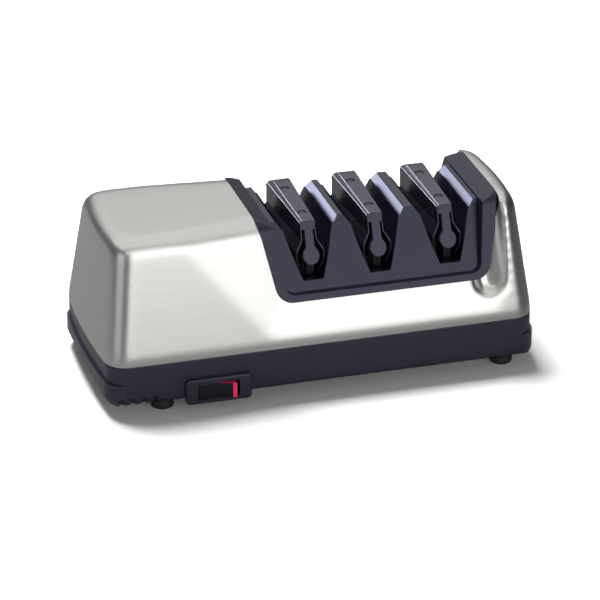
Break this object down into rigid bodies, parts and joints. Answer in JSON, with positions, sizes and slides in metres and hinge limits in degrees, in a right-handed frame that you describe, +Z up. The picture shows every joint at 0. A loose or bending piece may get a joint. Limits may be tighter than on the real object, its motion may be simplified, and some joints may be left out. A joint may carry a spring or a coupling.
{
  "type": "electric knife sharpener",
  "caption": "Electric knife sharpener: long brushed steel housing on a dark base, with slanted knife slots, guide blocks and a rocker switch at the front.",
  "frame": {"origin": "centre of the bounding box on the surface under the rubber feet", "axes": "+X along the housing towards the stage end, -Y towards the user, +Z up"},
  "size_m": [0.256, 0.1218, 0.1005],
  "materials": {
    "brushed_steel": "fine brushed along the length",
    "module_plastic": "satin",
    "base_plastic": "satin",
    "spring_polymer": "semi gloss",
    "red_plastic": "gloss",
    "inner_plastic": "plain",
    "zinc_screw": "zinc plated",
    "ground_steel": "ground",
    "diamond_disk": "diamond coated",
    "strop_disk": "fine abrasive",
    "bronze": "sintered",
    "lamination": "laminated",
    "copper": "enamelled wire",
    "bracket_metal": "cast",
    "foot_rubber": "matte"
  },
  "bodies": {
    "housing": {"housing_shell": "brushed_steel", "slot_bezel": "module_plastic", "slot_insert": "module_plastic", "guide_block_1": "module_plastic", "guide_block_2": "module_plastic", "guide_block_3": "module_plastic", "base_frame": "base_plastic", "base_tray": "base_plastic", "cleanout_cover": "base_plastic", "switch_housing": "base_plastic", "cord_gland": "base_plastic", "guide_spring_1": "spring_polymer", "guide_spring_2": "spring_polymer", "guide_spring_3": "spring_polymer", "stage_chassis": "inner_plastic", "shell_screws": "zinc_screw", "guide_screws": "zinc_screw", "motor_screws": "zinc_screw", "foot_screws": "zinc_screw", "chassis_screws": "zinc_screw", "motor_bolts": "zinc_screw", "rocker_pin": "ground_steel", "lever_pin": "ground_steel", "shell_brackets": "ground_steel", "stage_bushes": "bronze", "motor_bushes": "bronze", "switch_terminals": "bronze", "stator_core": "lamination", "filings_magnet": "lamination", "stator_coils": "copper", "motor_bracket_left": "bracket_metal", "motor_bracket_right": "bracket_metal", "base_feet": "foot_rubber"},
    "drive": {"drive_shaft": "ground_steel", "drive_pins": "ground_steel", "rotor_core": "lamination", "cooling_fan": "inner_plastic", "disk_spring_1": "ground_steel", "disk_spring_2": "ground_steel", "disk_spring_3": "ground_steel"},
    "disk_1_left": {"disk_1_left": "diamond_disk"},
    "disk_1_right": {"disk_1_right": "diamond_disk"},
    "disk_2_left": {"disk_2_left": "diamond_disk"},
    "disk_2_right": {"disk_2_right": "diamond_disk"},
    "disk_3_left": {"disk_3_left": "strop_disk"},
    "disk_3_right": {"disk_3_right": "strop_disk"},
    "rocker": {"switch_rocker": "red_plastic"},
    "lever": {"dressing_lever": "base_plastic"}
  },
  "joints": [
    {"name": "shaft_spin", "type": "hinge", "parent": "housing", "child": "drive", "pos_m": [0, 0, 0.055], "axis": [1, 0, 0], "continuous": true},
    {"name": "disk_1_left_slide", "type": "slide", "parent": "drive", "child": "disk_1_left", "axis": [1, 0, 0], "range_m": [0, 0.0012], "stiffness_N_per_m": 1500, "springref_m": -0.0005, "deforming": ["disk_spring_1"]},
    {"name": "disk_1_right_slide", "type": "slide", "parent": "drive", "child": "disk_1_right", "axis": [-1, 0, 0], "range_m": [0, 0.0012], "stiffness_N_per_m": 1500, "springref_m": -0.0005, "deforming": ["disk_spring_1"]},
    {"name": "disk_2_left_slide", "type": "slide", "parent": "drive", "child": "disk_2_left", "axis": [1, 0, 0], "range_m": [0, 0.0012], "stiffness_N_per_m": 1500, "springref_m": -0.0005, "deforming": ["disk_spring_2"]},
    {"name": "disk_2_right_slide", "type": "slide", "parent": "drive", "child": "disk_2_right", "axis": [-1, 0, 0], "range_m": [0, 0.0012], "stiffness_N_per_m": 1500, "springref_m": -0.0005, "deforming": ["disk_spring_2"]},
    {"name": "disk_3_left_slide", "type": "slide", "parent": "drive", "child": "disk_3_left", "axis": [1, 0, 0], "range_m": [0, 0.0012], "stiffness_N_per_m": 1500, "springref_m": -0.0005, "deforming": ["disk_spring_3"]},
    {"name": "disk_3_right_slide", "type": "slide", "parent": "drive", "child": "disk_3_right", "axis": [-1, 0, 0], "range_m": [0, 0.0012], "stiffness_N_per_m": 1500, "springref_m": -0.0005, "deforming": ["disk_spring_3"]},
    {"name": "rocker_tilt", "type": "hinge", "parent": "housing", "child": "rocker", "pos_m": [-0.0629, -0.052, 0.0119], "axis": [0, 0, 1], "range_deg": [0, 16]},
    {"name": "lever_swing", "type": "hinge", "parent": "housing", "child": "lever", "pos_m": [0.0776, 0.022, 0.0295], "axis": [0, 0, 1], "range_deg": [-5, 5]}
  ]
}
